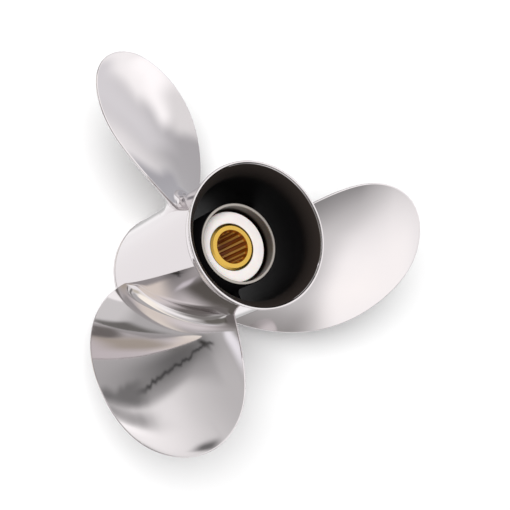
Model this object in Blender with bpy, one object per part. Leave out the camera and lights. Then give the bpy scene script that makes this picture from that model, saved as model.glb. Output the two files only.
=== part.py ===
"""Ship propeller of polished stainless steel: three cupped blades on an exhaust barrel, with its hub kit.

The propeller stands on the front rim of its barrel. +Z is the shaft axis and points aft, towards the flared
mouth. The origin is the centre of the front rim's plane. Blade 1 has its tip towards +Y, and the screw is
right-handed: seen from aft, it turns clockwise to drive ahead.
"""

import math

import bmesh
import bpy
import numpy as np

MM = 0.001

# Whole propeller: 13 1/8 inches across by 17 inches of pitch
BLADES = 3
PITCH = 431.8 * MM
TIP_RADIUS = 166.5 * MM
SEAT_GAP = 0.3 * MM
EDGE_BREAK = 0.6 * MM
SHARP_ANGLE = math.radians(35)

# Barrel, the outer tube that the exhaust leaves through
BARREL_RADIUS = 51.0 * MM
BARREL_BORE = 47.0 * MM
BARREL_END = 137.5 * MM
THROAT_RADIUS = 46.4 * MM
THROAT_HEIGHT = 134.0 * MM
THROAT_RUN = 10.0 * MM
FRONT_LIP_RADIUS = 51.4 * MM
FRONT_LIP_LENGTH = 3.0 * MM
BARREL_SIDES = 72

# Diffuser ring, the flared mouth behind the barrel
MOUTH_HEIGHT = 151.0 * MM
MOUTH_INNER_RADIUS = 53.3 * MM
MOUTH_OUTER_RADIUS = 55.05 * MM
SEAM_BORE = 46.6 * MM
BELL_POWER = 1.7
FLARE_POWER = 1.6
FLARE_STEPS = 6

# Inner hub, the steel tube that holds the hub kit
HUB_RADIUS = 30.9 * MM
HUB_FRONT = 14.0 * MM
HUB_REAR = 121.0 * MM
HUB_BORE = 27.4 * MM
HUB_COUNTERBORE = 28.6 * MM
COUNTERBORE_FLOOR = 105.0 * MM
SHOULDER_BORE = 21.5 * MM
SHOULDER_TOP = 22.0 * MM
HUB_SIDES = 60

# Hub kit: a nylon cushion sleeve round a splined brass drive sleeve
CUSHION_REAR = 109.7 * MM
CUSHION_CHAMFER = 1.5 * MM
DRIVE_RADIUS = 17.85 * MM
DRIVE_FACE_RADIUS = 16.1 * MM
DRIVE_CHAMFER = 0.9 * MM
DRIVE_FRONT = 17.0 * MM
DRIVE_REAR = 110.5 * MM
DRIVE_BLANK_BORE = 9.0 * MM
SPLINE_ROOT_RADIUS = 12.7 * MM
SPLINE_TIP_RADIUS = 11.3 * MM
SPLINE_TEETH = 15
TOOTH_SHARE = 0.42
TOOTH_FLANK = 0.08
THRUST_CONE_RADIUS = 15.2 * MM
LEAD_IN_RADIUS = 12.9 * MM

# Ribs, which carry the barrel on the inner hub
RIB_FRONT = 24.0 * MM
RIB_REAR = 87.0 * MM
RIB_THICKNESS = 5.0 * MM
RIB_FILLET = 5.0 * MM
RIB_TURN = -101.3
RIB_FILLET_STEPS = 3

# Blade outline as radii and as degrees from the tip: even steps from the root of the leading edge, over the
# tip, to the root of the trailing edge
BLADE_ROOT_RADIUS = BARREL_RADIUS + SEAT_GAP
OUTLINE_RADII = np.array([51.3, 90.0, 122.5, 148.5, 165.0, 160.0, 131.0, 93.0, 51.3]) * MM
OUTLINE_TURNS = np.array([-52.6, -41.4, -29.8, -17.3, -4.6, 8.6, 18.6, 22.8, 22.7])
OUTLINE_END = 0.482

# Pitch surface: its height at the barrel, the turn that belongs to that height, and its rake aft
PITCH_HEIGHT = 103.9 * MM
PITCH_TURN = 17.4
RAKE_SLOPE = 0.327

# Blade section
ROOT_THICKNESS = 11.0 * MM
TIP_THICKNESS = 3.0 * MM
EDGE_THICKNESS = 1.8 * MM
SPAN_TAPER = 0.8
SECTION_FULLNESS = 0.8
TIP_THINNING = 0.08
ROOT_FILLET = 9.0 * MM
ROUND_END = 0.12
CUP_HEIGHT = 3.0 * MM
CUP_WIDTH = 14.0 * MM
CUP_FADE_AT_TIP = 0.12
CUP_FADE_AT_ROOT = 0.2
CHORD_STEPS = 18
ROOT_LEVELS = 5
SPAN_LEVELS = 15
ROOT_ROWS = 6


def clear_scene():
    """Removes every object, such as those of the startup file."""
    for obj in list(bpy.data.objects):
        bpy.data.objects.remove(obj, do_unlink=True)


def material(name, colour, roughness, metallic):
    """A Principled material of one colour, roughness and metallic value."""
    made = bpy.data.materials.new(name)
    made.use_nodes = True
    shader = made.node_tree.nodes["Principled BSDF"]
    shader.inputs["Base Color"].default_value = (*colour, 1.0)
    shader.inputs["Roughness"].default_value = roughness
    shader.inputs["Metallic"].default_value = metallic
    made.diffuse_color = (*colour, 1.0)
    return made


def add_object(name, bm, finish):
    """Turns a bmesh into a smooth-shaded object whose faces point outwards."""
    bmesh.ops.recalc_face_normals(bm, faces=bm.faces)
    mesh = bpy.data.meshes.new(name)
    bm.to_mesh(mesh)
    bm.free()
    mesh.materials.append(finish)
    mesh.shade_smooth()
    mesh.set_sharp_from_angle(angle=SHARP_ANGLE)
    obj = bpy.data.objects.new(name, mesh)
    bpy.context.scene.collection.objects.link(obj)
    return obj


def turned(name, profile, sides, finish):
    """A ring turned round Z from a closed profile of (radius, height) points."""
    bm = bmesh.new()
    corners = [bm.verts.new((radius, 0.0, height)) for radius, height in profile]
    edges = [bm.edges.new(pair) for pair in zip(corners, corners[1:] + corners[:1])]
    bmesh.ops.spin(
        bm,
        geom=corners + edges,
        cent=(0, 0, 0),
        axis=(0, 0, 1),
        angle=math.tau,
        steps=sides,
        use_merge=True,
    )
    bmesh.ops.remove_doubles(bm, verts=bm.verts, dist=1e-6)
    return add_object(name, bm, finish)


def extruded(name, outline, bottom, top, finish):
    """A prism along Z from a closed outline of (x, y) points."""
    bm = bmesh.new()
    base = bm.faces.new([bm.verts.new((x, y, bottom)) for x, y in outline])
    prism = bmesh.ops.extrude_face_region(bm, geom=[base])
    raised = [item for item in prism["geom"] if isinstance(item, bmesh.types.BMVert)]
    bmesh.ops.translate(bm, verts=raised, vec=(0, 0, top - bottom))
    bmesh.ops.triangulate(bm, faces=[face for face in bm.faces if len(face.verts) > 4])
    return add_object(name, bm, finish)


def make_barrel(finish):
    """The barrel: a plain tube whose bore narrows to a throat just ahead of the diffuser ring."""
    profile = [
        (BARREL_BORE + EDGE_BREAK, 0.0),
        (FRONT_LIP_RADIUS - EDGE_BREAK, 0.0),
        (FRONT_LIP_RADIUS, EDGE_BREAK),
        (FRONT_LIP_RADIUS, FRONT_LIP_LENGTH),
        (BARREL_RADIUS, FRONT_LIP_LENGTH + 2 * EDGE_BREAK),
        (BARREL_RADIUS, BARREL_END),
        (SEAM_BORE, BARREL_END),
        (THROAT_RADIUS, THROAT_HEIGHT),
        (BARREL_BORE, THROAT_HEIGHT - THROAT_RUN),
        (BARREL_BORE, EDGE_BREAK),
    ]
    return turned("outer_barrel", profile, BARREL_SIDES, finish)


def make_diffuser(finish):
    """The diffuser ring: its bore opens like a bell from the seam to the rounded lip."""
    foot = BARREL_END + SEAT_GAP
    rise = MOUTH_HEIGHT - EDGE_BREAK - foot
    up = np.linspace(0.0, 1.0, FLARE_STEPS + 1)
    flare_radii = BARREL_RADIUS + (MOUTH_OUTER_RADIUS - BARREL_RADIUS) * up**FLARE_POWER
    bell_radii = SEAM_BORE + (MOUTH_INNER_RADIUS - SEAM_BORE) * up**BELL_POWER
    lip = [
        (MOUTH_OUTER_RADIUS - EDGE_BREAK, MOUTH_HEIGHT),
        (MOUTH_INNER_RADIUS + EDGE_BREAK, MOUTH_HEIGHT),
    ]
    flare = list(zip(flare_radii, foot + rise * up))
    bell = list(zip(bell_radii[::-1], foot + rise * up[::-1]))
    return turned("diffuser_ring", flare + lip + bell, BARREL_SIDES, finish)


def make_inner_hub(finish):
    """The inner hub: a thick tube with a stop shoulder in front and a counterbore behind."""
    profile = [
        (SHOULDER_BORE, HUB_FRONT),
        (HUB_RADIUS - EDGE_BREAK, HUB_FRONT),
        (HUB_RADIUS, HUB_FRONT + EDGE_BREAK),
        (HUB_RADIUS, HUB_REAR - EDGE_BREAK),
        (HUB_RADIUS - EDGE_BREAK, HUB_REAR),
        (HUB_COUNTERBORE + EDGE_BREAK, HUB_REAR),
        (HUB_COUNTERBORE, HUB_REAR - EDGE_BREAK),
        (HUB_COUNTERBORE, COUNTERBORE_FLOOR),
        (HUB_BORE, COUNTERBORE_FLOOR - EDGE_BREAK),
        (HUB_BORE, SHOULDER_TOP),
        (SHOULDER_BORE, SHOULDER_TOP),
    ]
    return turned("inner_hub", profile, HUB_SIDES, finish)


def make_cushion(finish):
    """The nylon cushion sleeve, pressed between the inner hub and the drive sleeve."""
    outer = HUB_BORE - SEAT_GAP
    inner = DRIVE_RADIUS + SEAT_GAP
    front = SHOULDER_TOP + SEAT_GAP
    profile = [
        (inner, front),
        (outer - CUSHION_CHAMFER, front),
        (outer, front + CUSHION_CHAMFER),
        (outer, CUSHION_REAR - EDGE_BREAK),
        (outer - EDGE_BREAK, CUSHION_REAR),
        (inner, CUSHION_REAR),
    ]
    return turned("cushion_sleeve", profile, HUB_SIDES, finish)


def make_spline_cutter(finish):
    """A bar, longer than the drive sleeve, with the outline of its splined bore."""
    tooth = math.tau / SPLINE_TEETH
    root_end = 1.0 - TOOTH_SHARE - TOOTH_FLANK
    stations = [
        (0.0, SPLINE_ROOT_RADIUS),
        (root_end / 2, SPLINE_ROOT_RADIUS),
        (root_end, SPLINE_ROOT_RADIUS),
        (root_end + TOOTH_FLANK, SPLINE_TIP_RADIUS),
        (1.0 - TOOTH_FLANK, SPLINE_TIP_RADIUS),
    ]
    outline = []
    for number in range(SPLINE_TEETH):
        for share, radius in stations:
            turn = (number + share) * tooth
            outline.append((radius * math.cos(turn), radius * math.sin(turn)))
    cutter = extruded("spline_cutter", outline, 0.0, MOUTH_HEIGHT, finish)
    cutter.hide_render = True
    cutter.display_type = "WIRE"
    return cutter


def make_drive_sleeve(finish):
    """The brass drive sleeve, splined inside and coned in front for the thrust washer."""
    blank = [
        (DRIVE_BLANK_BORE, DRIVE_FRONT + THRUST_CONE_RADIUS - DRIVE_BLANK_BORE),
        (THRUST_CONE_RADIUS, DRIVE_FRONT),
        (DRIVE_RADIUS - EDGE_BREAK, DRIVE_FRONT),
        (DRIVE_RADIUS, DRIVE_FRONT + EDGE_BREAK),
        (DRIVE_RADIUS, DRIVE_REAR - DRIVE_CHAMFER),
        (DRIVE_FACE_RADIUS, DRIVE_REAR),
        (LEAD_IN_RADIUS, DRIVE_REAR),
        (DRIVE_BLANK_BORE, DRIVE_REAR + DRIVE_BLANK_BORE - LEAD_IN_RADIUS),
    ]
    sleeve = turned("drive_sleeve", blank, HUB_SIDES, finish)
    cut = sleeve.modifiers.new("splined_bore", "BOOLEAN")
    cut.operation = "DIFFERENCE"
    cut.object = make_spline_cutter(finish)
    return sleeve


def rib_outline():
    """The rib's section across the axis: a plate along +X with a fillet at each end."""
    inner = HUB_RADIUS + SEAT_GAP
    outer = BARREL_BORE - SEAT_GAP
    foot = RIB_THICKNESS / 2 + RIB_FILLET
    inner_turn = math.asin(foot / inner)
    outer_turn = math.asin(foot / outer)
    swing = np.linspace(0.0, math.pi / 2, RIB_FILLET_STEPS + 1)
    along = RIB_FILLET * (1.0 - np.cos(swing))
    across = foot - RIB_FILLET * np.sin(swing)
    near_side = list(zip(inner * math.cos(inner_turn) + along, across))
    far_side = list(zip(outer * math.cos(outer_turn) - along, across))
    upper = near_side + far_side[::-1]
    lower = [(x, -y) for x, y in reversed(upper)]
    steps = RIB_FILLET_STEPS + 2
    outer_turns = np.linspace(outer_turn, -outer_turn, steps)[1:-1]
    inner_turns = np.linspace(-inner_turn, inner_turn, steps)[1:-1]
    outer_face = [(outer * math.cos(a), outer * math.sin(a)) for a in outer_turns]
    inner_face = [(inner * math.cos(a), inner * math.sin(a)) for a in inner_turns]
    return upper + outer_face + lower + inner_face


def make_rib(number, finish):
    """One rib, from the front of the inner hub to well inside the mouth."""
    rib = extruded(f"rib_{number + 1}", rib_outline(), RIB_FRONT, RIB_REAR, finish)
    rib.rotation_euler.z = math.radians(RIB_TURN) + number * math.tau / BLADES
    return rib


def spline_through(values, places):
    """A natural cubic spline through equally spaced values, read at places from 0 to 1."""
    last = len(values) - 1
    system = np.eye(last + 1)
    right = np.zeros(last + 1)
    for i in range(1, last):
        system[i, i - 1 : i + 2] = (1.0, 4.0, 1.0)
        right[i] = 6.0 * (values[i - 1] - 2.0 * values[i] + values[i + 1])
    bend = np.linalg.solve(system, right)
    along = np.asarray(places) * last
    left = np.minimum(along.astype(int), last - 1)
    b = along - left
    a = 1.0 - b
    cubic = (a**3 - a) * bend[left] + (b**3 - b) * bend[left + 1]
    return a * values[left] + b * values[left + 1] + cubic / 6.0


def ease(share):
    """A smooth step from 0 to 1 as share goes from 0 to 1."""
    share = np.clip(share, 0.0, 1.0)
    return share * share * (3.0 - 2.0 * share)


def blade_levels():
    """Shares of the outline at which sections lie, close together in the root fillet and at the tip."""
    first_step = OUTLINE_RADII[1] - OUTLINE_RADII[0]
    fillet_share = ROOT_FILLET / first_step / (len(OUTLINE_RADII) - 1)
    in_fillet = fillet_share * np.linspace(0.0, 1.0, ROOT_LEVELS, endpoint=False) ** 2
    swing = np.linspace(0.0, math.pi / 2, SPAN_LEVELS)
    over_span = fillet_share + (OUTLINE_END - fillet_share) * np.sin(swing)
    return np.concatenate([in_fillet, over_span])


def blade_section(share):
    """One section loop of a blade as rows of (radius, turn, height).

    It runs from the outline's point at share, on the leading edge, over the aft face to the matching point on
    the trailing edge, and back over the front face. The aft face lies on the pitch surface, which rises with
    the turn and with the radius. Thickness is laid off ahead of it, the cup bends the last part of the chord
    aft, and near the barrel both faces and both edges swell by a quarter-round fillet.
    """
    ends = np.array([share, 1.0 - share])
    radii = spline_through(OUTLINE_RADII, ends)
    turns = np.radians(spline_through(OUTLINE_TURNS, ends))
    chord = 0.5 - 0.5 * np.cos(np.linspace(0.0, math.pi, CHORD_STEPS + 1))
    radius = np.maximum(radii[0] + (radii[1] - radii[0]) * chord, BLADE_ROOT_RADIUS)
    turn = turns[0] + (turns[1] - turns[0]) * chord
    height = PITCH_HEIGHT + RAKE_SLOPE * (radius - BARREL_RADIUS)
    height = height + PITCH * (turn - math.radians(PITCH_TURN)) / math.tau
    climb = np.arctan(PITCH / (math.tau * radius))

    from_trailing = (1.0 - chord) * (turns[1] - turns[0]) * radius / np.cos(climb)
    cup_fade = ease((0.5 - share) / CUP_FADE_AT_TIP) * ease(share / CUP_FADE_AT_ROOT)
    cup = CUP_HEIGHT * cup_fade * np.clip(1.0 - from_trailing / CUP_WIDTH, 0.0, 1.0) ** 2

    span = (radius - BLADE_ROOT_RADIUS) / (TIP_RADIUS - BLADE_ROOT_RADIUS)
    middle = ROOT_THICKNESS + (TIP_THICKNESS - ROOT_THICKNESS) * np.clip(span, 0.0, 1.0) ** SPAN_TAPER
    fullness = (4.0 * chord * (1.0 - chord)) ** SECTION_FULLNESS
    thinning = math.sqrt(min(1.0, (0.5 - share) / TIP_THINNING))
    thickness = EDGE_THICKNESS + (middle - EDGE_THICKNESS) * fullness * thinning

    below_top = np.clip(ROOT_FILLET - (radius - BLADE_ROOT_RADIUS), 0.0, ROOT_FILLET)
    swell = ROOT_FILLET - np.sqrt(ROOT_FILLET**2 - below_top**2)
    outward = np.sign(chord - 0.5)
    at_end = np.clip(1.0 - np.minimum(chord, 1.0 - chord) / ROUND_END, 0.0, 1.0)
    across = swell * np.cos(at_end * math.pi / 2)
    along = outward * (swell * np.sin(at_end * math.pi / 2) - EDGE_THICKNESS / 2 * at_end)

    def face(offset, shift):
        """Rows moved off the pitch surface by offset and along the chord by shift."""
        moved_turn = turn + (shift * np.cos(climb) - offset * np.sin(climb)) / radius
        moved_height = height + shift * np.sin(climb) + offset * np.cos(climb)
        return np.stack([radius, moved_turn, moved_height], axis=1)

    aft = face(cup + across, along)
    front = face(cup - thickness - across, along)
    edge = face(cup - thickness / 2, outward * swell)
    return np.concatenate([edge[:1], aft, edge[-1:], front[::-1]])


def blade_point(row):
    """The (x, y, z) place of a (radius, turn, height) row on the blade whose tip is at +Y."""
    radius, turn, height = row
    return (-radius * math.sin(turn), radius * math.cos(turn), height)


def close_root(bm, ring, section):
    """Fills a blade's root with rows of faces that lie on the barrel's curve."""
    trailing = CHORD_STEPS + 2
    rows = []
    for step in range(CHORD_STEPS + 1):
        aft = 1 + step
        front = len(ring) - 1 - step
        row = [ring[aft]]
        for share in np.linspace(0.0, 1.0, ROOT_ROWS + 1)[1:-1]:
            row.append(bm.verts.new(blade_point(section[aft] + (section[front] - section[aft]) * share)))
        rows.append(row + [ring[front]])
    for k in range(ROOT_ROWS):
        for first, second in zip(rows, rows[1:]):
            bm.faces.new((first[k], first[k + 1], second[k + 1], second[k]))
        bm.faces.new((ring[0], rows[0][k + 1], rows[0][k]))
        bm.faces.new((ring[trailing], rows[-1][k], rows[-1][k + 1]))


def make_blade(number, finish):
    """One blade: section loops joined from root to tip, with a root face that follows the barrel."""
    bm = bmesh.new()
    sections = [blade_section(share) for share in blade_levels()]
    rings = [[bm.verts.new(blade_point(row)) for row in section] for section in sections]
    for lower, upper in zip(rings, rings[1:]):
        for i in range(len(lower)):
            bm.faces.new((lower[i - 1], lower[i], upper[i], upper[i - 1]))
    close_root(bm, rings[0], sections[0])
    bm.faces.new(rings[-1])
    bmesh.ops.triangulate(bm, faces=[face for face in bm.faces if len(face.verts) > 4])
    blade = add_object(f"blade_{number + 1}", bm, finish)
    blade.rotation_euler.z = number * math.tau / BLADES
    return blade


def main():
    """Makes every piece of the propeller."""
    clear_scene()
    steel = material("polished_stainless", (0.78, 0.77, 0.79), 0.12, 1.0)
    machined = material("machined_stainless", (0.66, 0.64, 0.63), 0.35, 1.0)
    painted = material("black_exhaust_paint", (0.03, 0.028, 0.03), 0.45, 0.0)
    nylon = material("white_nylon", (0.90, 0.89, 0.88), 0.4, 0.0)
    brass = material("machined_brass", (0.87, 0.68, 0.32), 0.25, 1.0)
    make_barrel(steel)
    make_diffuser(steel)
    make_inner_hub(machined)
    make_cushion(nylon)
    make_drive_sleeve(brass)
    for number in range(BLADES):
        make_rib(number, painted)
        make_blade(number, steel)


main()
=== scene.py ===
import math

import bmesh
import bpy
import numpy as np
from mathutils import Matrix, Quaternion, Vector


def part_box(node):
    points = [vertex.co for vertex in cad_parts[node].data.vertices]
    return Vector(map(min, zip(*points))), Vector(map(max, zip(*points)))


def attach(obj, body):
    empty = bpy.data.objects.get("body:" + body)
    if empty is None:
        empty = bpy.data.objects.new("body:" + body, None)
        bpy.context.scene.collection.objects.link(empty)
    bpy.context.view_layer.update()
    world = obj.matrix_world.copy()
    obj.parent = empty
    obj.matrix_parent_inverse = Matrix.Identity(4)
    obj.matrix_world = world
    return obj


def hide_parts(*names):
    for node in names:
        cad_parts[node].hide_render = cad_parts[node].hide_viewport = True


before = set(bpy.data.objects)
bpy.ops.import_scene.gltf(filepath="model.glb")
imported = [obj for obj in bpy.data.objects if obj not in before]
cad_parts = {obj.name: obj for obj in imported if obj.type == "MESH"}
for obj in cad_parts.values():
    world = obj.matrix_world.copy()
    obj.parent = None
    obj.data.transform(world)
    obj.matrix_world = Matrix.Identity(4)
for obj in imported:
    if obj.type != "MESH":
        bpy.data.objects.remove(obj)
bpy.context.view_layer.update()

# Barrel: the outer tube of the casting, which the exhaust leaves through. It is stainless steel, cast,
# turned and then buffed to a mirror outside. A low lip at its front end meets the gearcase, and its rear
# end runs on into the diffuser ring.

MM = 0.001
BARREL_SIDES = 720
ARC_STEPS = 8
HOLD = 0.12 * MM
WELD = 0.0001 * MM


def linear(code):
    """The linear colour of an sRGB hex code.

    A channel c becomes c / 12.92 up to 0.04045, and ((c + 0.055) / 1.055) to the power 2.4 above it.
    """
    srgb = np.array([int(code[i : i + 2], 16) for i in (1, 3, 5)]) / 255.0
    return (*np.where(srgb <= 0.04045, srgb / 12.92, ((srgb + 0.055) / 1.055) ** 2.4), 1.0)


def add_node(tree, kind, inputs=(), **settings):
    """Adds a node with its own settings; inputs holds (socket, value or feeding output) pairs."""
    made = tree.nodes.new(kind)
    for name, value in settings.items():
        setattr(made, name, value)
    for socket, value in inputs:
        if isinstance(value, bpy.types.NodeSocket):
            tree.links.new(value, made.inputs[socket])
        else:
            made.inputs[socket].default_value = value
    return made


def add_piece(name, points, faces, finish, slot, *nodes):
    """Makes a smooth mesh from arrays of points and faces, and has it ride in place of the CAD nodes."""
    mesh = bpy.data.meshes.new(name)
    mesh.vertices.add(len(points))
    mesh.vertices.foreach_set("co", np.asarray(points, np.float32).ravel())
    mesh.loops.add(faces.size)
    mesh.loops.foreach_set("vertex_index", faces.ravel().astype(np.int32))
    mesh.polygons.add(len(faces))
    mesh.polygons.foreach_set("loop_start", np.arange(0, faces.size, faces.shape[1], dtype=np.int32))
    mesh.update(calc_edges=True)
    welded = bmesh.new()
    welded.from_mesh(mesh)
    bmesh.ops.remove_doubles(welded, verts=welded.verts, dist=WELD)
    welded.to_mesh(mesh)
    welded.free()
    mesh.shade_smooth()
    mesh.materials.append(finish)
    piece = bpy.data.objects.new(name, mesh)
    bpy.context.scene.collection.objects.link(piece)
    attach(piece, "root")
    if nodes:
        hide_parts(*nodes)


def ring_faces(rows, columns):
    """Quads of a grid of rows by columns, closed both ways, with its outside to the left of the rows."""
    i, j = np.meshgrid(np.arange(rows), np.arange(columns), indexing="ij")
    k, m = (i + 1) % rows, (j + 1) % columns
    corners = (i * columns + j, i * columns + m, k * columns + m, k * columns + j)
    return np.stack(corners, axis=-1).reshape(-1, 4)


def rounded(corners):
    """A profile of (radius, height) points from (radius, height, rounding) corners, anticlockwise.

    Each corner is cut back by rounding / tan(half its angle) and joined by an arc about the point that lies
    rounding / sin(half its angle) along its bisector. A holding point stands just off either end of the arc.
    """
    places = np.array([corner[:2] for corner in corners])
    profile = []
    for before, (x, y, size), after in zip(np.roll(places, 1, 0), corners, np.roll(places, -1, 0)):
        here = np.array([x, y])
        if size == 0:
            profile.append(here[None])
            continue
        back = (before - here) / np.linalg.norm(before - here)
        on = (after - here) / np.linalg.norm(after - here)
        half = math.acos(np.clip(back @ on, -1, 1)) / 2
        cut = size / math.tan(half)
        centre = here + (back + on) / np.linalg.norm(back + on) * size / math.sin(half)
        first, last = here + back * cut - centre, here + on * cut - centre
        sweep = math.pi - 2 * half
        share = np.linspace(0, 1, ARC_STEPS + 1)[:, None]
        arc = centre + (np.sin((1 - share) * sweep) * first + np.sin(share * sweep) * last) / math.sin(sweep)
        profile += [here[None] + back * (cut + HOLD), arc, here[None] + on * (cut + HOLD)]
    return np.concatenate(profile)


def turned(profile, sides):
    """Points of a profile turned round Z: x = r cos a, y = r sin a, z = height, for each turn a."""
    a = np.linspace(0, math.tau, sides, endpoint=False)[None]
    radius, height = profile[:, :1], profile[:, 1:2]
    grid = np.stack([radius * np.cos(a), radius * np.sin(a), height + 0 * a], axis=-1)
    return grid.reshape(-1, 3), ring_faces(len(profile), sides)


# Cast stainless steel buffed to a mirror: it shows its surroundings almost sharply, a little grey and warm.
# The wheel leaves long shallow waves, about 30 mm apart, and a haze of fine scratches that varies.
STEEL_WAVES = 30 * MM
STEEL_WAVE_DEPTH = 0.05 * MM
STEEL_HAZE = 9 * MM
STEEL_BRIGHTEST = 0.03
STEEL_DULLEST = 0.075


def buffed_stainless():
    """Mirror-buffed cast stainless steel."""
    finish = bpy.data.materials.new("mirror_buffed_cast_stainless")
    finish.use_nodes = True
    tree = finish.node_tree
    shader = tree.nodes["Principled BSDF"]
    place = add_node(tree, "ShaderNodeTexCoord").outputs["Object"]
    waves = add_node(
        tree,
        "ShaderNodeTexNoise",
        [("Vector", place), ("Scale", 1 / STEEL_WAVES), ("Detail", 1.0)],
    )
    haze = add_node(
        tree,
        "ShaderNodeTexNoise",
        [("Vector", place), ("Scale", 1 / STEEL_HAZE), ("Detail", 4.0)],
    )
    dull = add_node(
        tree,
        "ShaderNodeMapRange",
        [("Value", haze.outputs["Fac"]), ("To Min", STEEL_BRIGHTEST), ("To Max", STEEL_DULLEST)],
    )
    bump = add_node(
        tree,
        "ShaderNodeBump",
        [("Height", waves.outputs["Fac"]), ("Distance", STEEL_WAVE_DEPTH), ("Strength", 1.0)],
    )
    shader.inputs["Metallic"].default_value = 1.0
    shader.inputs["Base Color"].default_value = linear("#D4CFD0")
    tree.links.new(dull.outputs["Result"], shader.inputs["Roughness"])
    tree.links.new(bump.outputs["Normal"], shader.inputs["Normal"])
    return finish


steel = buffed_stainless()

barrel_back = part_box("outer_barrel")[1]
LIP_RADIUS = barrel_back.x
BARREL_END = barrel_back.z
BARREL_RADIUS = 51.0 * MM
BARREL_BORE = 47.0 * MM
THROAT_RADIUS = 46.4 * MM
THROAT_HEIGHT = 134.0 * MM
THROAT_RUN = 10.0 * MM
LIP_LENGTH = 3.6 * MM
LIP_SLOPE = 0.4 * MM
SEAM_BORE = 46.6 * MM
SEAM_BREAK = 0.15 * MM

barrel_profile = rounded(
    [
        (BARREL_BORE, 0.0, 0.8 * MM),
        (LIP_RADIUS, 0.0, 0.8 * MM),
        (LIP_RADIUS, LIP_LENGTH, 0.3 * MM),
        (BARREL_RADIUS, LIP_LENGTH + LIP_SLOPE, 0.8 * MM),
        (BARREL_RADIUS, BARREL_END, SEAM_BREAK),
        (SEAM_BORE, BARREL_END, 0.0),
        (THROAT_RADIUS, THROAT_HEIGHT, 3.0 * MM),
        (BARREL_BORE, THROAT_HEIGHT - THROAT_RUN, 3.0 * MM),
    ]
)
points, faces = turned(barrel_profile, BARREL_SIDES)
add_piece("barrel", points, faces, steel, "polished_steel", "outer_barrel")

# Diffuser ring: the flared mouth behind the barrel, which keeps the exhaust off the blades. It is one with
# the casting, and a fine line shows where it was turned. Its bore opens like a bell to a rounded lip.

ring_foot, ring_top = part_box("diffuser_ring")
MOUTH_OUTER_RADIUS = ring_top.x
MOUTH_INNER_RADIUS = 53.3 * MM
MOUTH_HEIGHT = ring_top.z
FLARE_POWER = 1.6
BELL_POWER = 1.7
FLARE_ROWS = 40
LIP_ROUNDING = 0.8 * MM


def flare(share):
    """Outer radius of the ring: the barrel's, plus the share of its height to the power FLARE_POWER."""
    return BARREL_RADIUS + (MOUTH_OUTER_RADIUS - BARREL_RADIUS) * share**FLARE_POWER


def bell(share):
    """Radius of the ring's bore: the seam's, plus the share of its height to the power BELL_POWER."""
    return SEAM_BORE + (MOUTH_INNER_RADIUS - SEAM_BORE) * share**BELL_POWER


share = np.linspace(0.0, 1.0, FLARE_ROWS)
rise = MOUTH_HEIGHT - LIP_ROUNDING - ring_foot.z
outer_side = np.stack([flare(share), ring_foot.z + rise * share], axis=1)
inner_side = np.stack([bell(share), ring_foot.z + rise * share], axis=1)[::-1]
lip_middle = (MOUTH_OUTER_RADIUS + MOUTH_INNER_RADIUS) / 2
lip_half = (MOUTH_OUTER_RADIUS - MOUTH_INNER_RADIUS) / 2
swing = np.linspace(0, math.pi, 2 * ARC_STEPS + 1)[1:-1]
lip = np.stack(
    [lip_middle + lip_half * np.cos(swing), MOUTH_HEIGHT - LIP_ROUNDING * (1 - np.sin(swing))], axis=1
)
ring_profile = np.concatenate([outer_side, lip, inner_side])
points, faces = turned(ring_profile, BARREL_SIDES)
add_piece("diffuser_ring_metal", points, faces, steel, "polished_steel", "diffuser_ring")

# Exhaust paint: a heat-proof satin black, sprayed down the barrel, over the ribs and round the inner hub.
# The mouth's lip is masked. Here the coat is a thin skin on the metal. Its colour turns from black to a
# lighter grey-brown towards the mouth: a painted sheen.

COAT = 0.2 * MM
COAT_OFF = 0.03 * MM
COAT_START = 1.0 * MM
COAT_END = 0.94
THROAT_LEAD = 2.0 * MM
THROAT_SAG = 0.02 * MM
PAINT_PEEL = 1.6 * MM
PAINT_PEEL_DEPTH = 0.02 * MM


def exhaust_paint():
    """Sprayed heat-proof black paint: satin, with a fine orange peel, and a painted grey-brown sheen towards
    the mouth.
    """
    finish = bpy.data.materials.new("satin_black_exhaust_paint")
    finish.use_nodes = True
    tree = finish.node_tree
    shader = tree.nodes["Principled BSDF"]
    place = add_node(tree, "ShaderNodeTexCoord").outputs["Object"]
    peel = add_node(
        tree,
        "ShaderNodeTexNoise",
        [("Vector", place), ("Scale", 1 / PAINT_PEEL), ("Detail", 2.0)],
    )
    bump = add_node(tree, "ShaderNodeBump", [("Height", peel.outputs["Fac"]), ("Distance", PAINT_PEEL_DEPTH)])
    height = add_node(tree, "ShaderNodeSeparateXYZ", [("Vector", place)]).outputs["Z"]
    # Painted sheen: the colour runs from black at the throat to a lighter grey-brown at the mouth.
    mouth_sheen = add_node(
        tree,
        "ShaderNodeMapRange",
        [("Value", height), ("From Min", THROAT_HEIGHT), ("From Max", MOUTH_HEIGHT)],
    )
    colour = add_node(
        tree,
        "ShaderNodeMix",
        [("Factor", mouth_sheen.outputs["Result"]), (6, linear("#0B0A0B")), (7, linear("#2C2623"))],
        data_type="RGBA",
    )
    tree.links.new(colour.outputs[2], shader.inputs["Base Color"])
    tree.links.new(bump.outputs["Normal"], shader.inputs["Normal"])
    shader.inputs["Roughness"].default_value = 0.6
    shader.inputs["Specular IOR Level"].default_value = 0.08
    return finish


paint = exhaust_paint()


def coat(metal):
    """A closed skin over a line of (radius, height) points, on the left of the line as it runs.

    Its two sides lie COAT_OFF and COAT off the line, square to the slope between each point's neighbours.
    """
    step = np.gradient(metal, axis=0)
    out = np.stack([-step[:, 1], step[:, 0]], axis=1) / np.linalg.norm(step, axis=1)[:, None]
    return np.concatenate([metal + out * COAT_OFF, (metal + out * COAT)[::-1]])


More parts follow.
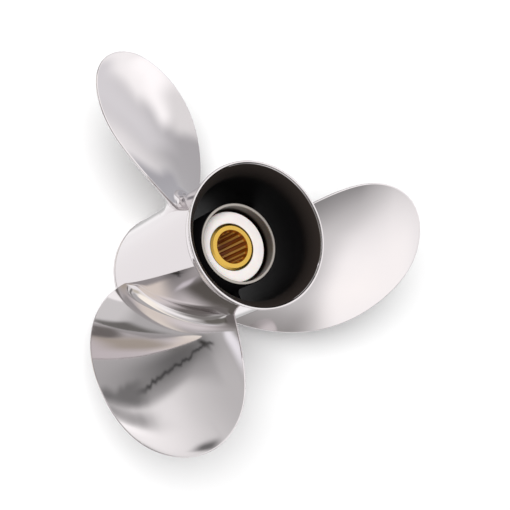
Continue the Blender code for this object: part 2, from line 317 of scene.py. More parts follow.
coat_share = np.linspace(0.0, COAT_END, FLARE_ROWS)
mouth_line = np.stack([bell(coat_share), ring_foot.z + rise * coat_share], axis=1)
bore_line = np.array(
    [
        (BARREL_BORE, COAT_START),
        (BARREL_BORE, THROAT_HEIGHT - THROAT_RUN - THROAT_LEAD),
        (BARREL_BORE - THROAT_SAG, THROAT_HEIGHT - THROAT_RUN),
        (THROAT_RADIUS, THROAT_HEIGHT),
    ]
)
lining = coat(np.concatenate([bore_line, mouth_line]))
points, faces = turned(lining, BARREL_SIDES // 2)
add_piece("barrel_paint", points, faces, paint, "black_paint")

# Inner hub: the thick steel tube that holds the hub kit. It is part of the casting, bored and counterbored
# on a lathe, so its rear rim and bore are bare, with fine turning marks. Outside it is painted black.

HUB_SIDES = 360
hub_front, hub_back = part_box("inner_hub")
HUB_RADIUS = hub_back.x
HUB_BORE = 27.4 * MM
HUB_COUNTERBORE = 28.6 * MM
COUNTERBORE_FLOOR = 105.0 * MM
SHOULDER_BORE = 21.5 * MM
SHOULDER_TOP = 22.0 * MM
HUB_COAT_MARGIN = 1.2 * MM
DARK_BORE_DEPTH = 1.2 * MM
DARK_BORE_END = 0.3 * MM

# Stainless steel off the lathe: satin, in fine rings. Real ones are about 0.15 mm apart, and these are drawn
# 0.5 mm apart so that they show. The colour turns from dark brown-grey down the bore to pale grey at the rim.
TURNING_PITCH = 0.5 * MM
TURNING_DEPTH = 0.03 * MM
TURNED_BRIGHTEST = 0.22
TURNED_DULLEST = 0.4


def turned_stainless():
    """Lathe-turned stainless steel: rings of noise along radius plus height, so that they follow the tool."""
    finish = bpy.data.materials.new("lathe_turned_stainless")
    finish.use_nodes = True
    tree = finish.node_tree
    shader = tree.nodes["Principled BSDF"]
    place = add_node(tree, "ShaderNodeTexCoord").outputs["Object"]
    axis = add_node(tree, "ShaderNodeSeparateXYZ", [("Vector", place)]).outputs
    across = add_node(tree, "ShaderNodeCombineXYZ", [("X", axis["X"]), ("Y", axis["Y"])])
    radius = add_node(
        tree,
        "ShaderNodeVectorMath",
        [("Vector", across.outputs["Vector"])],
        operation="LENGTH",
    )
    feed = add_node(tree, "ShaderNodeMath", [(0, radius.outputs["Value"]), (1, axis["Z"])], operation="ADD")
    line = add_node(tree, "ShaderNodeCombineXYZ", [("X", feed.outputs["Value"])])
    marks = add_node(
        tree,
        "ShaderNodeTexNoise",
        [("Vector", line.outputs["Vector"]), ("Scale", 1 / TURNING_PITCH), ("Detail", 2.0)],
    )
    bump = add_node(tree, "ShaderNodeBump", [("Height", marks.outputs["Fac"]), ("Distance", TURNING_DEPTH)])
    dull = add_node(
        tree,
        "ShaderNodeMapRange",
        [("Value", marks.outputs["Fac"]), ("To Min", TURNED_BRIGHTEST), ("To Max", TURNED_DULLEST)],
    )
    # Darker down the bore: dark brown-grey below the rim, pale grey on the rim itself.
    depth = add_node(
        tree,
        "ShaderNodeMapRange",
        [("Value", axis["Z"]), ("From Min", hub_back.z - DARK_BORE_DEPTH), ("From Max", hub_back.z - DARK_BORE_END)],
    )
    colour = add_node(
        tree,
        "ShaderNodeMix",
        [("Factor", depth.outputs["Result"]), (6, linear("#3C352D")), (7, linear("#A09A94"))],
        data_type="RGBA",
    )
    shader.inputs["Metallic"].default_value = 1.0
    tree.links.new(colour.outputs[2], shader.inputs["Base Color"])
    tree.links.new(dull.outputs["Result"], shader.inputs["Roughness"])
    tree.links.new(bump.outputs["Normal"], shader.inputs["Normal"])
    return finish


machined = turned_stainless()
hub_profile = rounded(
    [
        (SHOULDER_BORE, hub_front.z, 0.5 * MM),
        (HUB_RADIUS, hub_front.z, 0.8 * MM),
        (HUB_RADIUS, hub_back.z, 0.6 * MM),
        (HUB_COUNTERBORE, hub_back.z, 0.5 * MM),
        (HUB_COUNTERBORE, COUNTERBORE_FLOOR, 0.3 * MM),
        (HUB_BORE, COUNTERBORE_FLOOR, 0.3 * MM),
        (HUB_BORE, SHOULDER_TOP, 0.3 * MM),
        (SHOULDER_BORE, SHOULDER_TOP, 0.5 * MM),
    ]
)
points, faces = turned(hub_profile, HUB_SIDES)
add_piece("inner_hub_tube", points, faces, machined, "machined_steel", "inner_hub")

hub_line = np.array(
    [(HUB_RADIUS, hub_back.z - HUB_COAT_MARGIN), (HUB_RADIUS, hub_front.z + HUB_COAT_MARGIN)]
)
points, faces = turned(coat(hub_line), HUB_SIDES)
add_piece("inner_hub_paint", points, faces, paint, "black_paint")

# Ribs: three webs of the casting that carry the barrel on the inner hub, with a fillet at each end. They
# are painted with the barrel, and both their edges are rounded for the exhaust to flow past.

RIBS = 3
RIB_THICKNESS = 5.0 * MM
RIB_FILLET = 5.0 * MM
RIB_TURN = math.radians(-101.3)
RIB_EDGE = 2.4 * MM
RIB_ROWS = 10
RIB_END_STEPS = 16
rib_front, rib_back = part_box("rib_1")


def rib_outline(inset):
    """One side of the rib's section: a quarter-round fillet off the hub, a straight, and one to the barrel.

    The half width is the plate's, less inset, plus fillet (1 - sin a) as the arc's turn a goes from 0 to 90
    degrees, while the section runs along by fillet (1 - cos a).
    """
    a = np.linspace(0, math.pi / 2, RIB_END_STEPS)
    size = RIB_FILLET + inset
    half = RIB_THICKNESS / 2 - inset
    along = size * (1 - np.cos(a))
    across = half + size * (1 - np.sin(a))
    inner = np.sqrt(HUB_RADIUS**2 - across**2)
    outer = np.sqrt(BARREL_BORE**2 - across**2)
    near = np.stack([inner[0] + along, across], axis=1)
    far = np.stack([outer[0] - along, across], axis=1)[::-1]
    return np.concatenate([near, far])


def tube_faces(loops, count):
    """Quads along a stack of loops of count points each, which run clockwise seen from the far end."""
    i, j = np.meshgrid(np.arange(loops - 1), np.arange(count), indexing="ij")
    m = (j + 1) % count
    corners = (i * count + j, (i + 1) * count + j, (i + 1) * count + m, i * count + m)
    return np.stack(corners, axis=-1).reshape(-1, 4)


def end_faces(count):
    """Quads that close the first loop: point k from its start is joined to point k from its end."""
    k = np.arange(count // 2 - 1)
    return np.stack([k, k + 1, count - 2 - k, count - 1 - k], axis=-1)


edge = np.linspace(0, math.pi / 2, RIB_ROWS)
insets = np.concatenate([RIB_EDGE * (1 - np.sin(edge)), RIB_EDGE * (1 - np.cos(edge))])
heights = np.concatenate(
    [rib_front.z + RIB_EDGE * (1 - np.cos(edge)), rib_back.z - RIB_EDGE * (1 - np.sin(edge))]
)
rows = np.stack([rib_outline(inset) for inset in insets])
side = np.concatenate([rows, np.broadcast_to(heights[:, None, None], (*rows.shape[:2], 1))], axis=2)
loop = np.concatenate([side, (side * (1, -1, 1))[:, ::-1]], axis=1)
count = loop.shape[1]
last = (len(loop) - 1) * count
rib_faces = np.concatenate([tube_faces(len(loop), count), end_faces(count), end_faces(count)[:, ::-1] + last])
for number in range(RIBS):
    a = RIB_TURN + number * math.tau / RIBS
    turn = np.array([(math.cos(a), math.sin(a), 0), (-math.sin(a), math.cos(a), 0), (0, 0, 1)])
    add_piece(
        f"rib_{number + 1}_web",
        loop.reshape(-1, 3) @ turn,
        rib_faces,
        paint,
        "black_paint",
        f"rib_{number + 1}",
    )

# Blades: three right-hand blades of the casting, buffed all over. The aft face is ground to the pitch
# surface and cupped at the trailing edge, the front face bulges, and a fillet runs onto the barrel.

BLADES = 3
PITCH = 431.8 * MM
OUTLINE_RADII = np.array([51.0, 90.0, 122.5, 148.5, 165.0, 160.0, 131.0, 93.0, 51.0]) * MM
OUTLINE_TURNS = np.radians([-52.6, -41.4, -29.8, -17.3, -4.6, 8.6, 18.6, 22.8, 22.7])
TIP_RADIUS = 166.5 * MM
PITCH_HEIGHT = 103.9 * MM
PITCH_TURN = math.radians(17.4)
RAKE_SLOPE = 0.327
ROOT_THICKNESS = 11.0 * MM
TIP_THICKNESS = 3.0 * MM
EDGE_THICKNESS = 1.8 * MM
SPAN_TAPER = 0.8
SECTION_FULLNESS = 0.8
TIP_THINNING = 0.08
ROOT_FILLET = 9.0 * MM
FILLET_RUN_OUT = 0.22
ROOT_SINK = 0.002 * MM
ROOT_DEPTH = 1.5 * MM
EDGE_SQUARE = 0.1
CUP_HEIGHT = 3.0 * MM
CUP_WIDTH_AT_ROOT = 20.0 * MM
CUP_WIDTH_AT_TIP = 80.0 * MM
CUP_FADE_AT_TIP = 0.2
CUP_FADE_AT_ROOT = 0.2
CHORD_ROWS = 96
EDGE_ROWS = 9
FILLET_ROWS = 28
SPAN_ROWS = 110
TIP_CROWDING = 1.4


def spline_through(values, places):
    """A natural cubic spline through equally spaced values, and its slope, read at places from 0 to 1.

    Between two values it is a times the left one plus b times the right one, where b is the share of the way
    and a is the rest, plus ((a^3 - a) times the left bend + (b^3 - b) times the right bend) / 6. The bends
    are solved so that the slopes meet at each value, and they are 0 at the ends.
    """
    last = len(values) - 1
    system = np.eye(last + 1)
    right = np.zeros(last + 1)
    for i in range(1, last):
        system[i, i - 1 : i + 2] = (1.0, 4.0, 1.0)
        right[i] = 6.0 * (values[i - 1] - 2.0 * values[i] + values[i + 1])
    bend = np.linalg.solve(system, right)
    along = np.asarray(places) * last
    left = np.clip(along.astype(int), 0, last - 1)
    b = along - left
    a = 1.0 - b
    cubic = (a**3 - a) * bend[left] + (b**3 - b) * bend[left + 1]
    bending = (1 - 3 * a**2) * bend[left] + (3 * b**2 - 1) * bend[left + 1]
    slope = values[left + 1] - values[left] + bending / 6
    return a * values[left] + b * values[left + 1] + cubic / 6.0, slope * last


def ease(share):
    """A smooth step from 0 to 1 as share goes from 0 to 1."""
    share = np.clip(share, 0.0, 1.0)
    return share * share * (3.0 - 2.0 * share)


def climb_at(radius):
    """The helix angle: its tangent is the pitch over the way round at that radius."""
    return np.arctan(PITCH / (math.tau * radius))


def blade_edge(places):
    """Radius and turn of the outline drawn in by half the edge's thickness, and the way out across it.

    The way out lies in the pitch surface, square to the outline, as (radial part, part along the helix).
    Towards the root it turns to run along the helix.
    """
    radius, radius_slope = spline_through(OUTLINE_RADII, places)
    turn, turn_slope = spline_through(OUTLINE_TURNS, places)
    climb = climb_at(radius)
    radial = np.sqrt(1 + RAKE_SLOPE**2)
    helical = 1 / np.cos(climb)
    mixed = RAKE_SLOPE * np.tan(climb)
    run, round_ = radius_slope, radius * turn_slope
    out_round = run * radial**2 + round_ * mixed
    out_radial = -(run * mixed + round_ * helical**2)
    out_radial = out_radial * ease(np.minimum(places, 1 - places) / EDGE_SQUARE)
    length = np.sqrt(
        (out_radial * radial) ** 2 + (out_round * helical) ** 2 + 2 * out_radial * out_round * mixed
    )
    out_radial, out_round = -out_radial / length, -out_round / length
    half = EDGE_THICKNESS / 2
    return radius - half * out_radial, turn - half * out_round / radius, out_radial, out_round


def blade_levels():
    """Shares of the outline where the sections lie.

    Up the fillet they are a quarter round's 1 - cos of even turns. Beyond it, the share left to the tip
    falls from all to none to the power TIP_CROWDING.
    """
    fillet_share = ROOT_FILLET / (OUTLINE_RADII[1] - OUTLINE_RADII[0]) / (len(OUTLINE_RADII) - 1)
    arc = np.linspace(0, math.pi / 2, FILLET_ROWS, endpoint=False)
    left = np.linspace(1, 0, SPAN_ROWS) ** TIP_CROWDING
    return np.concatenate([fillet_share * (1 - np.cos(arc)), 0.5 - (0.5 - fillet_share) * left])


def blade_surface():
    """Loops of points round a blade's section, from root to tip, as (level, place round the loop, xyz).

    Between matching points of the two edges, the aft face lies at a height of PITCH_HEIGHT, plus RAKE_SLOPE
    times the radius beyond the barrel, plus PITCH times the turn past PITCH_TURN over a full turn. The front
    face lies a thickness ahead of it, along the helix's normal. The cup and the fillet's swell move both, and
    a half round of the edge's thickness joins them.
    """
    level = blade_levels()
    lead_r, lead_turn, lead_out, lead_round = (x[:, None] for x in blade_edge(level))
    trail_r, trail_turn, trail_out, trail_round = (x[:, None] for x in blade_edge(1 - level))
    chord = (0.5 - 0.5 * np.cos(np.linspace(0, math.pi, CHORD_ROWS + 1)))[None]
    level = level[:, None]
    radius = lead_r + (trail_r - lead_r) * chord
    turn = lead_turn + (trail_turn - lead_turn) * chord

    def offsets(radius, chord, turn_left):
        """Cup, thickness and swell at a radius, a share of the chord and the turn left to its trailing end.

        The cup rises by the square of the nearness to the trailing edge, over a width that grows tipwards.
        The thickness swells to the middle of the chord, and the fillet's swell is a quarter round.
        """
        run = turn_left * radius / np.cos(climb_at(radius))
        fade = ease((0.5 - level) / CUP_FADE_AT_TIP) * ease(level / CUP_FADE_AT_ROOT)
        width = CUP_WIDTH_AT_ROOT + (CUP_WIDTH_AT_TIP - CUP_WIDTH_AT_ROOT) * level / 0.5
        cup = CUP_HEIGHT * fade * np.clip(1 - run / width, 0, 1) ** 2
        span = np.clip((radius - BARREL_RADIUS) / (TIP_RADIUS - BARREL_RADIUS), 0, 1)
        middle = ROOT_THICKNESS + (TIP_THICKNESS - ROOT_THICKNESS) * span**SPAN_TAPER
        fullness = (4 * chord * (1 - chord)) ** SECTION_FULLNESS
        thinning = np.sqrt(np.clip((0.5 - level) / TIP_THINNING, 0, 1))
        thickness = EDGE_THICKNESS + (middle - EDGE_THICKNESS) * fullness * thinning
        below = np.clip(ROOT_FILLET - (radius - BARREL_RADIUS), 0, ROOT_FILLET)
        swell = ROOT_FILLET - np.sqrt(ROOT_FILLET**2 - below**2)
        swell = swell * ease(np.minimum(chord, 1 - chord) / FILLET_RUN_OUT)
        return cup, thickness, swell

    def place(radius, turn, offset, out_radial=0.0, out_round=0.0):
        """Points off the pitch surface by offset and along it by the way out."""
        climb = climb_at(radius)
        raked = PITCH_HEIGHT + RAKE_SLOPE * (radius - BARREL_RADIUS)
        height = raked + PITCH * (turn - PITCH_TURN) / math.tau
        turn = turn + (out_round - offset * np.sin(climb)) / radius
        height = height + offset * np.cos(climb) + RAKE_SLOPE * out_radial + np.tan(climb) * out_round
        radius = radius + out_radial - ROOT_SINK
        return np.stack([-radius * np.sin(turn), radius * np.cos(turn), height], axis=-1)

    cup, thickness, swell = offsets(radius, chord, trail_turn - turn)
    aft = place(radius, turn, cup + swell)
    ahead = place(radius, turn, cup - thickness - swell)
    arc = np.linspace(0, math.pi, EDGE_ROWS + 1)[1:-1][None]
    half = EDGE_THICKNESS / 2
    edges = []
    for r, t, out_r, out_t, chord_end in (
        (trail_r, trail_turn, trail_out, trail_round, 1.0),
        (lead_r, lead_turn, lead_out, lead_round, 0.0),
    ):
        cup, _, swell = offsets(r, chord_end, trail_turn - t)
        reach = (half + swell) * np.sin(arc)
        offset = cup - half + (half + swell) * np.cos(arc)
        edges.append(place(r + 0 * arc, t + 0 * arc, offset, out_r * reach, out_t * reach))
    loops = np.concatenate([aft, edges[0], ahead[:, ::-1], edges[1][:, ::-1]], axis=1)
    return np.roll(loops, EDGE_ROWS // 2, axis=1)


blade = blade_surface()
stump = blade[:1] * (1 - ROOT_DEPTH / BARREL_RADIUS, 1 - ROOT_DEPTH / BARREL_RADIUS, 1)
blade = np.concatenate([stump, blade])
levels, count = blade.shape[:2]
blade_faces = np.concatenate([tube_faces(levels, count), end_faces(count)])
for number in range(BLADES):
    a = -number * math.tau / BLADES
    turn = np.array([(math.cos(a), -math.sin(a), 0), (math.sin(a), math.cos(a), 0), (0, 0, 1)])
    add_piece(
        f"blade_{number + 1}_skin",
        blade.reshape(-1, 3) @ turn,
        blade_faces,
        steel,
        "polished_steel",
        f"blade_{number + 1}",
    )

# Cushion sleeve: white nylon, moulded and pressed between the inner hub and the drive sleeve. It drives
# the propeller, and shears if a blade strikes something. Its rear face is flat and satin.

cushion_front, cushion_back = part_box("cushion_sleeve")
CUSHION_RADIUS = cushion_back.x
DRIVE_RADIUS = 17.85 * MM
CUSHION_GAP = 0.3 * MM
CUSHION_BORE = DRIVE_RADIUS + CUSHION_GAP

# Natural nylon from a mould: white, faintly see-through, with a fine grain and cloudy shades 8 mm apart.
NYLON_GRAIN = 0.7 * MM
NYLON_GRAIN_DEPTH = 0.01 * MM
NYLON_CLOUDS = 8 * MM
NYLON_SCATTER = 2 * MM


def moulded_nylon():
    """Moulded natural nylon, satin, in two close whites."""
    finish = bpy.data.materials.new("moulded_white_nylon")
    finish.use_nodes = True
    tree = finish.node_tree
    shader = tree.nodes["Principled BSDF"]
    place = add_node(tree, "ShaderNodeTexCoord").outputs["Object"]
    grain = add_node(
        tree,
        "ShaderNodeTexNoise",
        [("Vector", place), ("Scale", 1 / NYLON_GRAIN), ("Detail", 3.0)],
    )
    bump = add_node(
        tree,
        "ShaderNodeBump",
        [("Height", grain.outputs["Fac"]), ("Distance", NYLON_GRAIN_DEPTH)],
    )
    shade = add_node(
        tree,
        "ShaderNodeTexNoise",
        [("Vector", place), ("Scale", 1 / NYLON_CLOUDS), ("Detail", 2.0)],
    )
    colour = add_node(
        tree,
        "ShaderNodeMix",
        [("Factor", shade.outputs["Fac"]), (6, linear("#F0EAE7")), (7, linear("#E6DFDC"))],
        data_type="RGBA",
    )
    tree.links.new(colour.outputs[2], shader.inputs["Base Color"])
    tree.links.new(bump.outputs["Normal"], shader.inputs["Normal"])
    shader.inputs["Roughness"].default_value = 0.42
    shader.inputs["IOR"].default_value = 1.53
    shader.inputs["Subsurface Weight"].default_value = 0.15
    shader.inputs["Subsurface Scale"].default_value = NYLON_SCATTER
    return finish


cushion_profile = rounded(
    [
        (CUSHION_BORE, cushion_front.z, 0.3 * MM),
        (CUSHION_RADIUS, cushion_front.z, 1.2 * MM),
        (CUSHION_RADIUS, cushion_back.z, 0.7 * MM),
        (CUSHION_BORE, cushion_back.z, 0.4 * MM),
    ]
)
points, faces = turned(cushion_profile, HUB_SIDES)
add_piece("cushion", points, faces, moulded_nylon(), "white_nylon", "cushion_sleeve")

# Drive sleeve: brass bar, turned outside and broached inside with 15 teeth for the propeller shaft. Its
# rear face is skimmed bright, a chamfer leads the shaft in, and a cone at the front takes the thrust washer.

DRIVE_FACE_RADIUS = 16.1 * MM
DRIVE_CHAMFER = 0.9 * MM
SPLINE_ROOT_RADIUS = 12.7 * MM
SPLINE_TIP_RADIUS = 11.3 * MM
CONE_END_RADIUS = SPLINE_TIP_RADIUS - 0.2 * MM
TIP_HIGHLIGHT_RADIUS = 11.7 * MM
SPLINE_TEETH = 15
SPLINE_SIDES = 900
SPLINE_PHASE = math.radians(6)
FLANK_STEEPNESS = 1.7
SPACE_WIDENING = 0.06
LEAD_IN_RADIUS = 13.0 * MM
LEAD_IN_ROWS = 12
THRUST_CONE_RADIUS = 15.2 * MM
drive_front, drive_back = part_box("drive_sleeve")

# Free-cutting brass: turned bright yellow on its faces. The broach leaves lengthwise lines in the bore,
# 0.5 mm apart. The bore is drawn brown, darkest in the roots of the teeth, a painted shade, and bright
# yellow on the teeth's tips, a painted highlight. In the bore the surface is only half metallic.
BROACH_LINES = 0.5 * MM
BROACH_DEPTH = 0.02 * MM
BORE_ROUGHNESS = 0.5
BORE_METALLIC = 0.5
FACE_ROUGHNESS = 0.26


def machined_brass():
    """Machined brass, which turns by its radius from the brown bore, with painted shade in the teeth's roots
    and painted highlights on their tips, to the bright face.
    """
    finish = bpy.data.materials.new("machined_brass")
    finish.use_nodes = True
    tree = finish.node_tree
    shader = tree.nodes["Principled BSDF"]
    place = add_node(tree, "ShaderNodeTexCoord").outputs["Object"]
    axis = add_node(tree, "ShaderNodeSeparateXYZ", [("Vector", place)]).outputs
    across = add_node(tree, "ShaderNodeCombineXYZ", [("X", axis["X"]), ("Y", axis["Y"])])
    marks = add_node(
        tree,
        "ShaderNodeTexNoise",
        [("Vector", across.outputs["Vector"]), ("Scale", 1 / BROACH_LINES), ("Detail", 2.0)],
    )
    bump = add_node(tree, "ShaderNodeBump", [("Height", marks.outputs["Fac"]), ("Distance", BROACH_DEPTH)])
    radius = add_node(
        tree,
        "ShaderNodeVectorMath",
        [("Vector", across.outputs["Vector"])],
        operation="LENGTH",
    )
    face = add_node(
        tree,
        "ShaderNodeMapRange",
        [("Value", radius.outputs["Value"]), ("From Min", SPLINE_ROOT_RADIUS), ("From Max", LEAD_IN_RADIUS)],
    )
    # Painted highlight on the teeth's tips and painted shade in their roots: bright yellow at the tips, dark
    # brown deeper in.
    tip_highlight = add_node(
        tree,
        "ShaderNodeMapRange",
        [("Value", radius.outputs["Value"]), ("From Min", TIP_HIGHLIGHT_RADIUS), ("From Max", SPLINE_TIP_RADIUS)],
    )
    tooth = add_node(
        tree,
        "ShaderNodeMix",
        [("Factor", tip_highlight.outputs["Result"]), (6, linear("#A2550A")), (7, linear("#F0BC5C"))],
        data_type="RGBA",
    )
    colour = add_node(
        tree,
        "ShaderNodeMix",
        [("Factor", face.outputs["Result"]), (6, tooth.outputs[2]), (7, linear("#C8A34E"))],
        data_type="RGBA",
    )
    dull = add_node(
        tree,
        "ShaderNodeMapRange",
        [("Value", face.outputs["Result"]), ("To Min", BORE_ROUGHNESS), ("To Max", FACE_ROUGHNESS)],
    )
    bare = add_node(
        tree,
        "ShaderNodeMapRange",
        [("Value", face.outputs["Result"]), ("To Min", BORE_METALLIC), ("To Max", 1.0)],
    )
    tree.links.new(bare.outputs["Result"], shader.inputs["Metallic"])
    tree.links.new(colour.outputs[2], shader.inputs["Base Color"])
    tree.links.new(dull.outputs["Result"], shader.inputs["Roughness"])
    tree.links.new(bump.outputs["Normal"], shader.inputs["Normal"])
    return finish


# Radius of the spline at each turn a: the tips', plus the teeth's depth times a smooth step over the cosine
# of SPLINE_TEETH times a, steepened for the flanks. The bore's profile keeps outside that radius.
a = np.linspace(0, math.tau, SPLINE_SIDES, endpoint=False)[None]
space = ease(0.5 + FLANK_STEEPNESS * (np.cos(SPLINE_TEETH * (a - SPLINE_PHASE)) / 2 + SPACE_WIDENING))
spline = SPLINE_TIP_RADIUS + (SPLINE_ROOT_RADIUS - SPLINE_TIP_RADIUS) * space
outside = rounded(
    [
        (THRUST_CONE_RADIUS, drive_front.z, 0.2 * MM),
        (DRIVE_RADIUS, drive_front.z, 0.5 * MM),
        (DRIVE_RADIUS, drive_back.z - DRIVE_CHAMFER, 0.1 * MM),
        (DRIVE_FACE_RADIUS, drive_back.z, 0.2 * MM),
        (LEAD_IN_RADIUS, drive_back.z, 0.15 * MM),
        (CONE_END_RADIUS, drive_back.z - LEAD_IN_RADIUS + CONE_END_RADIUS, 0.0),
        (CONE_END_RADIUS, drive_front.z + THRUST_CONE_RADIUS - CONE_END_RADIUS, 0.0),
    ]
)
cone = np.linspace(outside[-3], outside[-2], LEAD_IN_ROWS)[1:]
end = np.linspace(outside[-1], outside[0], LEAD_IN_ROWS)[:-1]
blank = np.concatenate([outside[:-2], cone, end])
in_bore = np.arange(len(blank)) >= len(outside) - 2
radius = np.where(in_bore[:, None], np.maximum(blank[:, :1], spline), blank[:, :1])
grid = np.stack([radius * np.cos(a), radius * np.sin(a), blank[:, 1:] + 0 * a], axis=-1)
faces = ring_faces(len(blank), SPLINE_SIDES)
add_piece("drive_sleeve_brass", grid.reshape(-1, 3), faces, machined_brass(), "brass", "drive_sleeve")

# Studio: the propeller stands on a wide sheet of white paper under one large soft light, inside a tent of
# cards, and is seen from behind and above, as in the photograph. The mirror finish shows the tent alone: the
# paper and the light are kept out of it, because the tent has cards in their places.

FLOOR_SIZE = 12.0


def white_paper():
    """Matt white background paper."""
    finish = bpy.data.materials.new("white_background_paper")
    finish.use_nodes = True
    shader = finish.node_tree.nodes["Principled BSDF"]
    shader.inputs["Base Color"].default_value = linear("#FBFBFB")
    shader.inputs["Roughness"].default_value = 0.9
    return finish


half = FLOOR_SIZE / 2
paper = bpy.data.meshes.new("floor")
paper.from_pydata(
    [(-half, -half, 0), (half, -half, 0), (half, half, 0), (-half, half, 0)], [], [(0, 1, 2, 3)]
)
paper.materials.append(white_paper())
floor = bpy.data.objects.new("floor", paper)
bpy.context.scene.collection.objects.link(floor)
floor.visible_glossy = False

# The tent's cards, each with its azimuth, half width and blur, then its elevation, half height and blur, and
# how ragged its edge is, all in degrees. Then come its slope, brightness and colour. Azimuth runs from +X
# towards +Y, and a card covers those before it. TENT_FILL is the tent's share in lighting matt surfaces.
TENT_LIGHT = 1.36
TENT_FILL = 0.08
RAGGED_STEP = math.radians(4)
CARDS = (
    ("ground", (0, 200, 10), (-60, 46, 30), 0, 0, 1.16, "#FFFEFF"),
    ("key softbox", (221, 10, 60), (52, 6, 30), 0, 0, 1.55, "#FFFDFA"),
    ("open side", (174, 38, 31), (20, 36, 19), 0, -0.36, 0.3, "#FFFCF8"),
    ("dark gap", (273, 18, 42), (7, 30, 41), 0, -0.24, 0.28, "#FFFFFF"),
    ("low side", (225, 30, 60), (17.5, 22.5, 14), 0, -0.15, 0.8, "#FFFFFF"),
    ("right side", (99.5, 37.5, 58), (37, 44.5, 36), 0, 1.12, 0.72, "#FFFFFF"),
    ("bright strip", (96, 35, 16), (-2, 8, 12), 0, -0.36, 1.42, "#FFFBF0"),
    ("shade beneath it", (103, 21, 26), (-26, 8.5, 10), 0, 0, 0.78, "#FFF9EA"),
    ("dark panel", (123, 22.5, 14), (20.5, 9, 8), 0, -0.07, 0.2, "#FFFBF0"),
    ("under the seam", (57, 30, 5), (9.5, 20.5, 3), 0, -0.16, 0.6, "#FFFFFF"),
    ("deeper under the seam", (70, 19.5, 36), (19.5, 5.5, 9), 0, -0.25, 0.19, "#FFFFFF"),
    ("seam", (66, 24, 3), (22.8, 0.6, 0.9), 3, -0.31, 0.07, "#FFFFFF"),
    ("dark corner", (43.5, 9.5, 6.5), (29, 3, 2.5), 3, -0.24, 0.24, "#FFFFFF"),
    ("low shade", (50.5, 21, 19), (7.5, 4, 3.5), 0, 0.29, 0.2, "#FFFDF8"),
    ("low light", (29, 17, 9), (1, 7, 2), 0, -0.32, 0.86, "#FFFFFF"),
    ("high light", (42, 9.5, 7), (40, 11, 5), 0, 0.29, 1.47, "#FFFFFF"),
    ("far ground", (331, 22, 26), (-19.5, 21.5, 8), 0, -0.06, 0.6, "#FCFCFF"),
    ("far wall", (349.5, 7, 16), (-6.5, 8, 8.5), 0, 0, 0.95, "#FCFCFF"),
    ("far corner", (359, 11.5, 8.5), (1, 8, 6), 0, 0.09, 1, "#FCFCFF"),
    ("near ground", (357, 11, 8.5), (-38, 11.5, 8.5), 0, 0, 0.55, "#F8F8FF"),
    ("streak", (338, 3.5, 6), (5, 8, 6.5), 0, -0.72, 1.55, "#FFFFFF"),
    ("beside the streak", (331, 6, 8.5), (4, 6.5, 5.5), 0, -0.61, 1.06, "#FFFFFF"),
    ("dark ground behind", (349, 40, 20), (-62, 14, 14), 0, 0, 0.6, "#FFFFFF"),
    ("low dark band", (69, 17, 12), (-20.5, 4.5, 5), 0, -0.6, 0.3, "#FFFDF8"),
    ("end of the seam", (84.5, 2.5, 4), (16, 1.3, 2.4), 1, 0.5, 0.06, "#FFFDF8"),
    ("bright slit", (100, 2.5, 4), (15, 4, 4), 0, -1, 1.25, "#FAFAFF"),
    ("low screen", (8, 5, 7), (-17, 8, 7), 0, 0, 0.38, "#F8F8FF"),
    ("dark patch", (69, 3, 4), (36, 2, 3), 0, -0.4, 0.2, "#FFFFFF"),
)


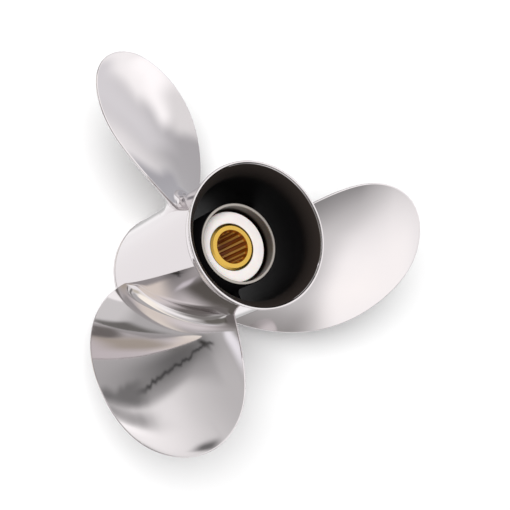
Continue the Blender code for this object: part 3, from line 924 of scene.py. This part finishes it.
def tent(world):
    """A white tent of soft cards round the propeller, for its mirror finish. The camera sees plain white.

    A card covers what is behind it by the product of two smooth steps, across and up. Each runs over the
    card's blur, about its half size, by the distance from its middle. The middle's elevation is the card's,
    plus slope times the azimuth past its own, plus noise along the azimuth where the edge is ragged.
    """
    world.use_nodes = True
    tree = world.node_tree
    way = add_node(tree, "ShaderNodeTexCoord").outputs["Generated"]
    axis = add_node(tree, "ShaderNodeSeparateXYZ", [("Vector", way)]).outputs
    azimuth = add_node(tree, "ShaderNodeMath", [(0, axis["Y"]), (1, axis["X"])], operation="ARCTAN2")
    elevation = add_node(tree, "ShaderNodeMath", [(0, axis["Z"])], operation="ARCSINE")
    line = add_node(tree, "ShaderNodeCombineXYZ", [("X", azimuth.outputs[0])])
    rag = add_node(
        tree,
        "ShaderNodeTexNoise",
        [("Vector", line.outputs[0]), ("Scale", 1 / RAGGED_STEP), ("Detail", 2.0)],
    )
    light = (TENT_LIGHT, TENT_LIGHT, TENT_LIGHT, 1.0)
    for name, across, upright, ragged, slope, strength, code in CARDS:
        around, width, blur_across = np.radians(across)
        up, height, blur_up = np.radians(upright)
        wrapped = add_node(
            tree,
            "ShaderNodeMath",
            [(0, azimuth.outputs[0]), (1, around + math.pi), (2, around - math.pi)],
            operation="WRAP",
        )
        off = add_node(tree, "ShaderNodeMath", [(0, wrapped.outputs[0]), (1, around)], operation="SUBTRACT")
        sloped = add_node(
            tree,
            "ShaderNodeMath",
            [(0, off.outputs[0]), (1, slope), (2, up)],
            operation="MULTIPLY_ADD",
        )
        middle = sloped.outputs[0]
        if ragged:
            reach = math.radians(ragged)
            shift = add_node(
                tree,
                "ShaderNodeMapRange",
                [("Value", rag.outputs["Fac"]), ("To Min", -reach), ("To Max", reach)],
            )
            torn = add_node(
                tree,
                "ShaderNodeMath",
                [(0, middle), (1, shift.outputs["Result"])],
                operation="ADD",
            )
            middle = torn.outputs[0]
        above = add_node(
            tree,
            "ShaderNodeMath",
            [(0, elevation.outputs[0]), (1, middle)],
            operation="SUBTRACT",
        )
        cover = []
        for distance, size, blur in ((off, width, blur_across), (above, height, blur_up)):
            far = add_node(tree, "ShaderNodeMath", [(0, distance.outputs[0])], operation="ABSOLUTE")
            inside = add_node(
                tree,
                "ShaderNodeMapRange",
                [("Value", far.outputs[0]), ("From Min", size + blur / 2), ("From Max", size - blur / 2)],
                interpolation_type="SMOOTHSTEP",
            )
            cover.append(inside.outputs["Result"])
        both = add_node(tree, "ShaderNodeMath", [(0, cover[0]), (1, cover[1])], operation="MULTIPLY")
        colour = np.array(linear(code)) * (strength, strength, strength, 1.0)
        card = add_node(
            tree,
            "ShaderNodeMix",
            [("Factor", both.outputs[0]), (6, light), (7, tuple(colour))],
            data_type="RGBA",
            label=name,
        )
        light = card.outputs[2]
    ray = add_node(tree, "ShaderNodeLightPath").outputs
    shown = add_node(
        tree,
        "ShaderNodeMix",
        [("Factor", ray["Is Camera Ray"]), (6, light), (7, (1, 1, 1, 1))],
        data_type="RGBA",
    )
    fill = add_node(
        tree,
        "ShaderNodeMapRange",
        [("Value", ray["Is Diffuse Ray"]), ("To Min", 1.0), ("To Max", TENT_FILL)],
    )
    tree.links.new(shown.outputs[2], tree.nodes["Background"].inputs["Color"])
    tree.links.new(fill.outputs["Result"], tree.nodes["Background"].inputs["Strength"])


bpy.context.scene.world = bpy.data.worlds.new("studio")
tent(bpy.context.scene.world)

# The key light is one large softbox, high up on the camera's side, which gives the soft shadow on the paper.
KEY_AZIMUTH = math.radians(149.5)
KEY_ELEVATION = math.radians(63)
KEY_SPREAD = math.radians(38)
KEY_LIGHT = 3.6
key = bpy.data.objects.new("key_softbox", bpy.data.lights.new("key_softbox", "SUN"))
key.data.energy = KEY_LIGHT
key.data.angle = KEY_SPREAD
key.rotation_euler = (0, math.pi / 2 - KEY_ELEVATION, KEY_AZIMUTH)
key.visible_glossy = False
bpy.context.scene.collection.objects.link(key)

# The camera stands where the photograph was taken from: behind the propeller, above its mouth.
CAMERA_PLACE = (-0.4418, 0.0756, 0.8745)
CAMERA_AIM = (0.0182, -0.0164, 0.1)
CAMERA_ROLL = math.radians(65.566)
CAMERA_LENS = 84.06
CAMERA_SENSOR = 36.0
CAMERA_NEAR = 0.01
camera = bpy.data.objects.new("camera", bpy.data.cameras.new("camera"))
camera.data.sensor_width = CAMERA_SENSOR
camera.data.lens = CAMERA_LENS
camera.data.clip_start = CAMERA_NEAR
camera.location = CAMERA_PLACE
aim = np.subtract(CAMERA_AIM, CAMERA_PLACE)
camera.rotation_mode = "QUATERNION"
camera.rotation_quaternion = Vector(aim).to_track_quat("-Z", "Y") @ Quaternion((0, 0, 1), CAMERA_ROLL)
bpy.context.scene.collection.objects.link(camera)
bpy.context.scene.camera = camera
bpy.context.scene.view_settings.view_transform = "Standard"
